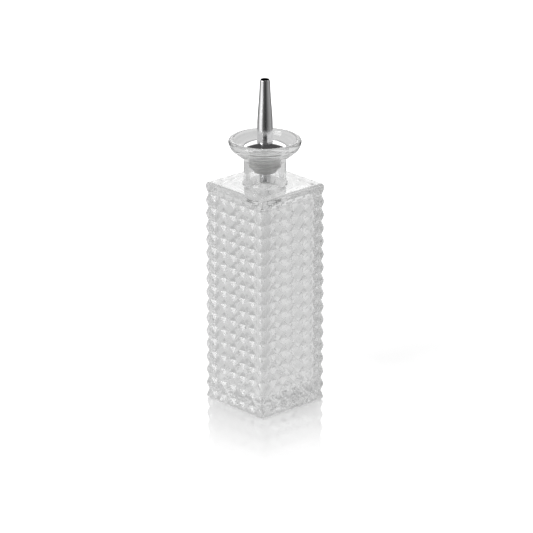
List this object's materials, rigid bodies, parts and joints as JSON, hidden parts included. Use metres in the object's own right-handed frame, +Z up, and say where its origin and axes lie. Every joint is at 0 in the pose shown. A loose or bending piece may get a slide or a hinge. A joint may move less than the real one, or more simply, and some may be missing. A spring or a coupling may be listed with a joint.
{
  "type": "bitters bottle",
  "caption": "Square glass bitters bottle with diamond dimples, a flared bowl lip and a push-in stainless dasher pourer.",
  "frame": {"origin": "middle of the base, on the surface the bottle stands on", "axes": "+Z up through the neck and the spout; X and Y square to the four faces of the body"},
  "size_m": [0.04, 0.04, 0.1604],
  "materials": {
    "clear_glass": "clear pressed glass, fire polished",
    "plug_plastic": "soft translucent plastic, satin",
    "brushed_spout": "stainless steel, finely brushed along the spout",
    "polished_flange": "stainless steel, mirror polished",
    "stem_steel": "drawn stainless tube",
    "insert_plastic": "moulded, matt"
  },
  "bodies": {
    "bottle": {"bottle": "clear_glass"},
    "stopper": {"plug": "plug_plastic", "stem": "stem_steel", "flange": "polished_flange", "spout": "brushed_spout", "dash_insert": "insert_plastic"}
  },
  "joints": [
    {"name": "stopper_lift", "type": "slide", "parent": "bottle", "child": "stopper", "axis": [0, 0, 1], "range_m": [0, 0.045]}
  ]
}
